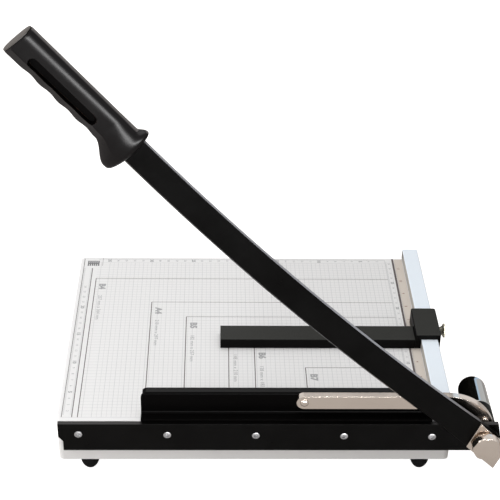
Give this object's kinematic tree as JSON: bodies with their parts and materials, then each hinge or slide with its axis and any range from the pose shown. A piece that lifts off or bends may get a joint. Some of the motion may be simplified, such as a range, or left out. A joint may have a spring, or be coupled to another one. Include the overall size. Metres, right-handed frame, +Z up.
{
  "type": "paper cutter",
  "caption": "Desk guillotine paper cutter: steel table with side fence, hinged knife arm with a moulded handle, press bar on a lever and sliding back gauge.",
  "frame": {"origin": "on the desk, below the centre of the bounding box with the arm raised as in the picture", "axes": "+X along the cutting edge towards the pivot, +Y away from the user across the table, +Z up"},
  "size_m": [0.4758, 0.3198, 0.501],
  "materials": {
    "table_paint": "smooth white stove enamel on steel sheet, with a printed grid on top",
    "black_paint": "satin black enamel",
    "fence_paint": "smooth bluish white coating",
    "gauge_paint": "matt black coating",
    "nickel": "warm nickel plating, lightly brushed",
    "chrome": "bright mirror chrome",
    "zinc": "bright zinc plating",
    "brass": "pale turned brass",
    "black_plastic": "glossy black moulded plastic",
    "cap_plastic": "dull brownish grey plastic",
    "rubber": "matt black rubber"
  },
  "bodies": {
    "base": {"baseboard": "table_paint", "fixed_blade": "black_paint", "blade_screw_1": "zinc", "blade_nut_1": "zinc", "blade_screw_2": "zinc", "blade_nut_2": "zinc", "blade_screw_3": "zinc", "blade_nut_3": "zinc", "blade_screw_4": "zinc", "blade_nut_4": "zinc", "blade_screw_5": "zinc", "blade_nut_5": "zinc", "side_fence": "fence_paint", "fence_screw_1": "zinc", "fence_screw_2": "zinc", "fence_screw_3": "zinc", "foot_1": "rubber", "foot_screw_1": "zinc", "foot_2": "rubber", "foot_screw_2": "zinc", "foot_3": "rubber", "foot_screw_3": "zinc", "foot_4": "rubber", "foot_screw_4": "zinc", "pivot_bolt": "nickel", "bolt_washer": "nickel", "pivot_spacer": "nickel", "pivot_boss": "black_paint", "spring_barrel": "chrome", "pivot_spring": "zinc", "tail_washer": "zinc", "pivot_nut": "zinc"},
    "arm": {"knife_arm": "black_paint", "pivot_plate": "nickel", "handle_grip": "black_plastic", "handle_end_cap": "cap_plastic", "handle_screw_1": "zinc", "handle_screw_2": "zinc"},
    "lever": {"press_lever": "nickel", "lever_bush": "brass", "lever_stop": "nickel", "lever_pin": "nickel", "lever_pin_nut": "zinc"},
    "press_bar": {"press_bar": "black_paint"},
    "gauge": {"gauge_bar": "gauge_paint", "gauge_block": "gauge_paint", "gauge_screw_1": "zinc", "gauge_screw_2": "zinc"},
    "thumbscrew": {"gauge_thumbscrew": "brass"}
  },
  "joints": [
    {"name": "arm_hinge", "type": "hinge", "parent": "base", "child": "arm", "pos_m": [0.21398, -0.1444, 0.05245], "axis": [0, 1, 0], "range_deg": [-43.8, 31]},
    {"name": "lever_hinge", "type": "hinge", "parent": "base", "child": "lever", "pos_m": [0.21398, -0.1444, 0.05245], "axis": [0, 1, 0], "range_deg": [0, 4.2]},
    {"name": "bar_level", "type": "hinge", "parent": "lever", "child": "press_bar", "pos_m": [0.02928, -0.13015, 0.0914], "axis": [0, 1, 0], "range_deg": [-4.2, 0]},
    {"name": "gauge_slide", "type": "slide", "parent": "base", "child": "gauge", "axis": [0, 1, 0], "range_m": [-0.098, 0.125]},
    {"name": "thumbscrew_turn", "type": "hinge", "parent": "gauge", "child": "thumbscrew", "pos_m": [0.18798, 0.0059, 0.07515], "axis": [1, 0, 0], "range_deg": [-180, 180]}
  ],
  "couplings": [
    {"joint": "bar_level", "follows": "lever_hinge", "ratio": -1}
  ]
}
